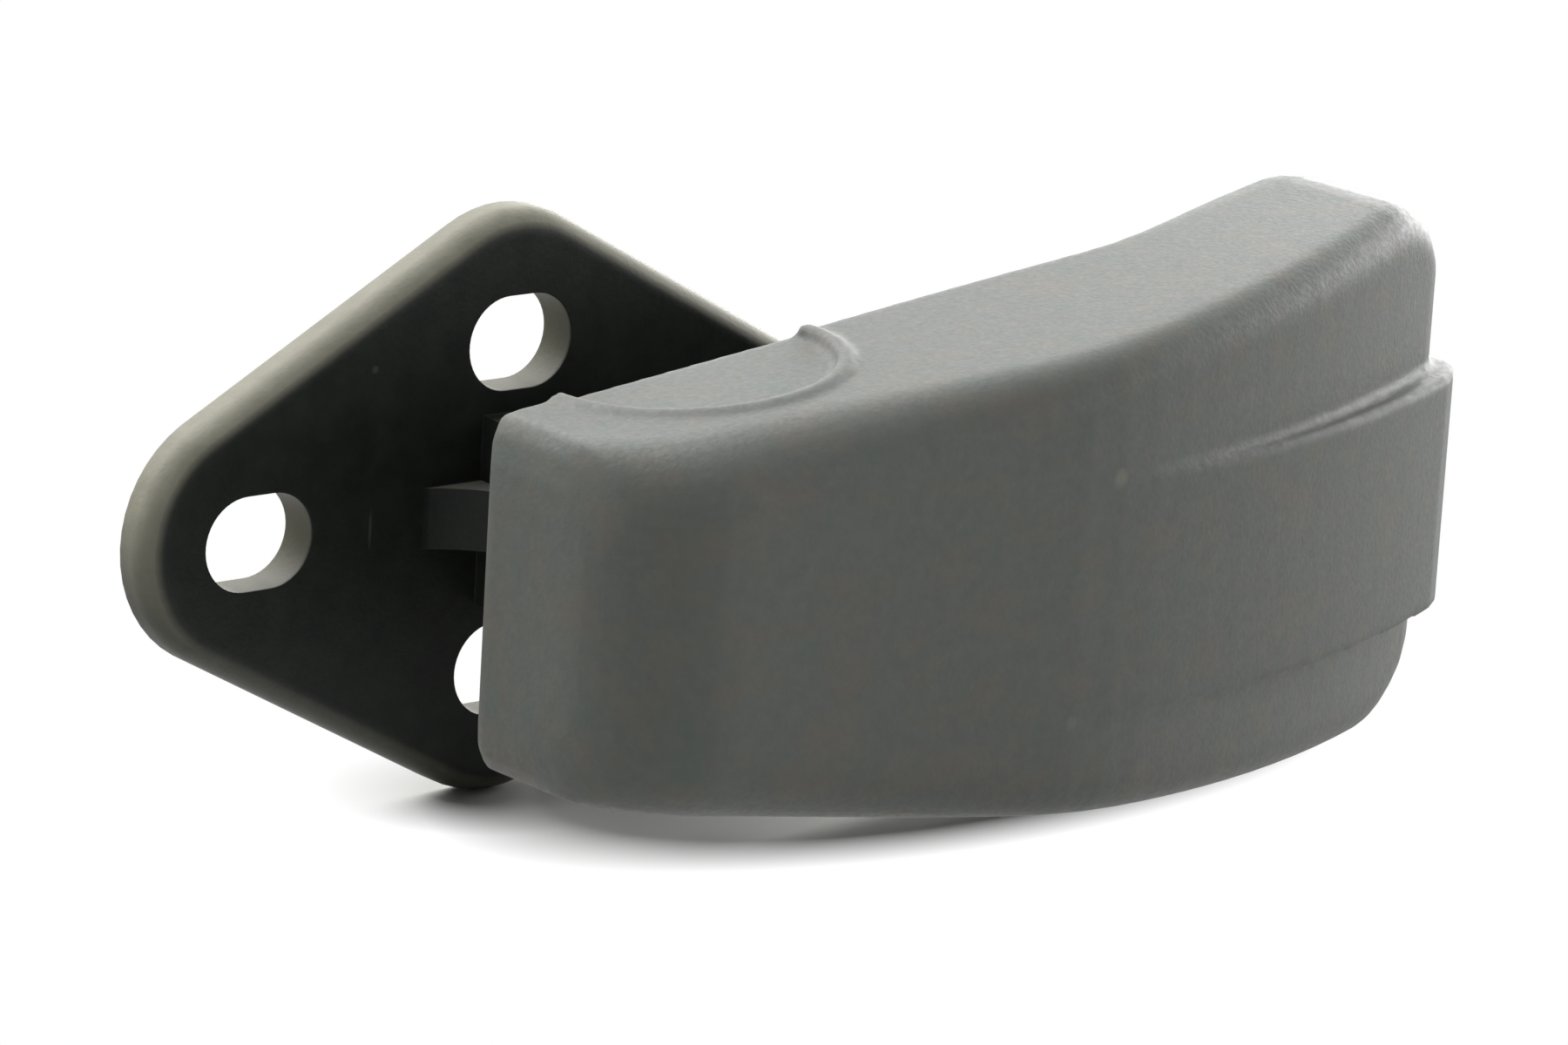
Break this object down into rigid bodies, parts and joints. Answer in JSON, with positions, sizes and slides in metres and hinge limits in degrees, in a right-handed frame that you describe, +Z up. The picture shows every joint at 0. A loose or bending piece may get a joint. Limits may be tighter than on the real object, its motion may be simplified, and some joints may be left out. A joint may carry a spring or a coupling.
{
  "type": "window latch",
  "caption": "Swing latch for a window: rhombus mounting plate with a hinge block, and a hollow paddle handle that turns on an upright pin.",
  "frame": {"origin": "centre of the mounting plate's back face, between its four screw slots", "axes": "+X along the handle towards its tip, +Y out of the plate's back into what it is screwed to, +Z up along the hinge pin"},
  "size_m": [0.1034, 0.0391, 0.0406],
  "materials": {
    "black_plate_plastic": "fine satin moulding",
    "grey_handle_plastic": "fine spark-eroded grain",
    "pin_steel": "ground",
    "spring_steel": "drawn wire",
    "sintered_bronze": "sintered, oiled",
    "acetal": "natural acetal"
  },
  "bodies": {
    "base": {"base_plate": "black_plate_plastic", "hinge_pin": "pin_steel", "upper_washer": "acetal", "lower_washer": "acetal"},
    "handle": {"handle": "grey_handle_plastic", "upper_bush": "sintered_bronze", "lower_bush": "sintered_bronze", "torsion_spring": "spring_steel"}
  },
  "joints": [
    {"name": "handle_swing", "type": "hinge", "parent": "base", "child": "handle", "pos_m": [0, -0.0204, 0], "axis": [0, 0, -1], "range_deg": [0, 60], "stiffness_Nm_per_rad": 0.05, "springref_deg": -28.65, "deforming": ["torsion_spring"]}
  ]
}
